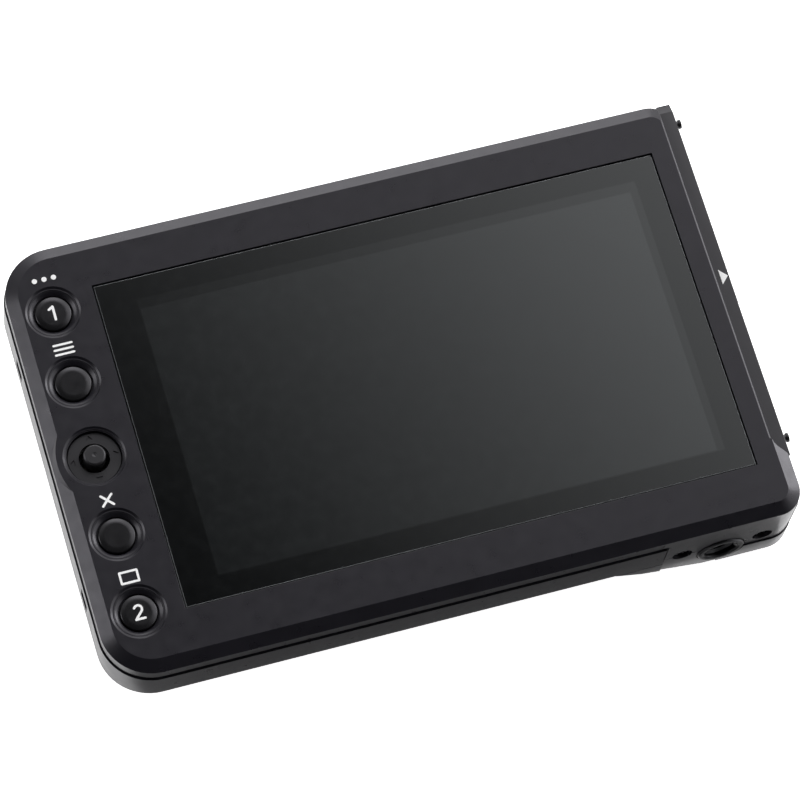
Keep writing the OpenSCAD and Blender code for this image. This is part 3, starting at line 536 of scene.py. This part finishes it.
def make_camera():
    look = Vector((math.sin(SWING) * math.cos(TILT), math.sin(TILT),
                   -math.cos(TILT) * math.cos(SWING))).normalized()
    right = look.cross(Vector((0, 1, 0))).normalized()
    down = look.cross(right)
    right, down = (math.cos(ROLL) * right + math.sin(ROLL) * down,
                   -math.sin(ROLL) * right + math.cos(ROLL) * down)
    data = bpy.data.cameras.new("camera")
    data.lens = FOCAL_PX / PHOTO_PX * data.sensor_width
    data.clip_start = 0.05
    cam = bpy.data.objects.new("camera", data)
    bpy.context.scene.collection.objects.link(cam)
    axes = Matrix((right, -down, -look)).transposed()
    cam.matrix_world = Matrix.Translation(CAMERA_AT) @ axes.to_4x4()
    bpy.context.scene.camera = cam


make_camera()

# Lamps: place and size in metres, and power
LAMPS = {
    "over": ((-0.45, 0.15, 0.36), 0.2, 0.42),
    "left": ((-0.85, 0.46, 0.88), 0.6, 0.25),
    "far": ((0.23, 1.22, 0.38), 0.6, 1.2),
    "right": ((1.13, 0.38, 0.51), 0.6, 3.2),
}


def make_lamp(name, place, size, power):
    """A round lamp that points at the object."""
    data = bpy.data.lights.new(name, "AREA")
    data.shape = "DISK"
    data.size = size
    data.energy = power
    lamp = bpy.data.objects.new(name, data)
    lamp.location = place
    lamp.rotation_euler = (-Vector(place)).to_track_quat("-Z", "Y").to_euler()
    bpy.context.scene.collection.objects.link(lamp)


for lamp_name, (place, size, power) in LAMPS.items():
    make_lamp(lamp_name, place, size, power)

# The studio's soft lights, far off: direction, where the light starts and is full as the
# cosine of the angle from that direction, and level
AMBIENT = 0.03
SOFT_LIGHTS = (
    ((0.868, 0.496, 0.0), 0.25, 0.40, 0.64),
    ((0.868, 0.496, 0.0), 0.32, 0.50, 0.75),
    ((-0.2, 0.75, 0.63), 0.85, 1.0, 0.63),
    ((-0.92, 0.34, 0.2), 0.87, 1.0, 2.6),
    ((0.62, 0.33, 0.71), 0.94, 1.0, 1.1),
    ((0.87, 0.29, 0.39), 0.93, 1.0, 2.2),
    ((0.19, 0.76, 0.62), 0.94, 1.0, 1.6),
)


def soft_light(tree, where, toward, start, full, level):
    """Light that grows from 0 to level as the direction where comes close to toward."""
    dot = tree.nodes.new("ShaderNodeVectorMath")
    dot.operation = "DOT_PRODUCT"
    dot.inputs[1].default_value = Vector(toward).normalized()
    tree.links.new(where, dot.inputs[0])
    edge = tree.nodes.new("ShaderNodeMapRange")
    edge.interpolation_type = "SMOOTHSTEP"
    edge.inputs["From Min"].default_value = start
    edge.inputs["From Max"].default_value = full
    edge.inputs["To Min"].default_value = 0
    edge.inputs["To Max"].default_value = level
    tree.links.new(dot.outputs["Value"], edge.inputs["Value"])
    return edge.outputs["Result"]


def make_world():
    """Soft lights for the object, and plain white for the camera."""
    world = bpy.data.worlds.new("studio")
    world.use_nodes = True
    tree = world.node_tree
    where = tree.nodes.new("ShaderNodeTexCoord").outputs["Generated"]
    total = None
    for light in SOFT_LIGHTS:
        add = tree.nodes.new("ShaderNodeMath")
        add.operation = "ADD"
        add.inputs[1].default_value = AMBIENT
        tree.links.new(soft_light(tree, where, *light), add.inputs[0])
        if total:
            tree.links.new(total, add.inputs[1])
        total = add.outputs[0]
    shown = tree.nodes.new("ShaderNodeMix")
    seen = tree.nodes.new("ShaderNodeLightPath").outputs["Is Camera Ray"]
    tree.links.new(seen, shown.inputs["Factor"])
    tree.links.new(total, shown.inputs["A"])
    shown.inputs["B"].default_value = 1.0
    back = tree.nodes["Background"]
    back.inputs["Color"].default_value = (1, 1, 1, 1)
    tree.links.new(shown.outputs["Result"], back.inputs["Strength"])
    bpy.context.scene.world = world


def seen_directly(tree):
    """1 for what the camera, a mirror or glass sees, and 0 for what lights the object."""
    path = tree.nodes.new("ShaderNodeLightPath")
    total = path.outputs["Is Camera Ray"]
    for other in ("Is Glossy Ray", "Is Transmission Ray"):
        node = tree.nodes.new("ShaderNodeMath")
        node.operation = "MAXIMUM"
        tree.links.new(total, node.inputs[0])
        tree.links.new(path.outputs[other], node.inputs[1])
        total = node.outputs[0]
    return total


# The floor lies a hair below the part's back, so that the two faces don't meet. A grey card
# on it along the lower side is seen by reflections only. Both are in metres.
FLOOR_HALF = 3.0
FLOOR_Z = -0.00005
FLOOR_GREY = 0.9
FLAG = (-0.075, -0.13, 0.064, -0.0435)
FLAG_Z = 0.0004
FLAG_GREY = 0.64
MATT = 0.9


def card(name, left, low, right, high, z, grey):
    """A flat matt card, with the tree and shader of its material."""
    mesh = bpy.data.meshes.new(name)
    mesh.from_pydata([(left, low, z), (right, low, z), (right, high, z), (left, high, z)],
                     [], [(0, 1, 2, 3)])
    obj = bpy.data.objects.new(name, mesh)
    bpy.context.scene.collection.objects.link(obj)
    mat, tree, shader = new_material(name)
    shader.inputs["Base Color"].default_value = (grey, grey, grey, 1)
    shader.inputs["Roughness"].default_value = MATT
    mesh.materials.append(mat)
    return obj, tree, shader


def make_floor():
    floor, tree, shader = card("floor", -FLOOR_HALF, -FLOOR_HALF, FLOOR_HALF, FLOOR_HALF,
                               FLOOR_Z, FLOOR_GREY)
    shader.inputs["Emission Color"].default_value = (1, 1, 1, 1)
    tree.links.new(seen_directly(tree), shader.inputs["Emission Strength"])


def make_flag():
    flag = card("flag", *FLAG, FLAG_Z, FLAG_GREY)[0]
    flag.visible_camera = False
    flag.visible_diffuse = False
    flag.visible_shadow = False


make_world()
make_floor()
make_flag()

scene = bpy.context.scene
scene.view_settings.view_transform = "Standard"
